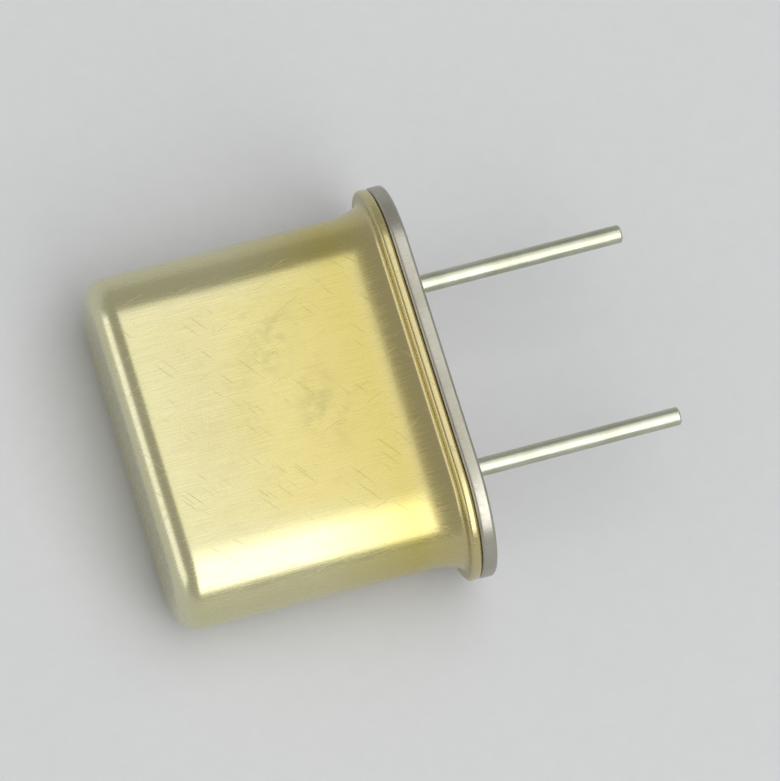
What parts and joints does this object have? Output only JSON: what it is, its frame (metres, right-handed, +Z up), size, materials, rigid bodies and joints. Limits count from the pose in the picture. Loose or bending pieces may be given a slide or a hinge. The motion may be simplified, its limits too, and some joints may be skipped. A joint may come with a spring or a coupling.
{
  "type": "crystal oscillator",
  "caption": "Two-lead quartz crystal in a welded metal holder with full-round sides and a weld flange, lying on its broad side; it sets the frequency of a radio or clock circuit.",
  "frame": {"origin": "centre of the seat face, the header's flat underside, midway between the leads", "axes": "+X along the leads, away from the closed end and rising 4.5 degrees as the part lies at rest; +Y across the holder, from the left lead to the right one; +Z up, out of the broad front face"},
  "size_m": [0.0102, 0.0078, 0.0032],
  "materials": {
    "shell_metal": "pale gold, satin to bright, drawn sheet",
    "header_metal": "pale warm grey, satin",
    "seal_glass": "dark sealing glass, fire polished",
    "lead_metal": "bright drawn wire, pale with a yellow cast",
    "clip_metal": "rolled strip",
    "quartz": "finely lapped, clear",
    "electrode_film": "evaporated silver film",
    "silver_adhesive": "matt grey, silver filled"
  },
  "bodies": {
    "root": {"can": "shell_metal", "base": "header_metal", "glass_seal_left": "seal_glass", "glass_seal_right": "seal_glass", "lead_left": "lead_metal", "lead_right": "lead_metal", "clip_left": "clip_metal", "clip_right": "clip_metal", "quartz_blank": "quartz", "electrode_front": "electrode_film", "electrode_back": "electrode_film", "adhesive_left": "silver_adhesive", "adhesive_right": "silver_adhesive"}
  },
  "joints": []
}
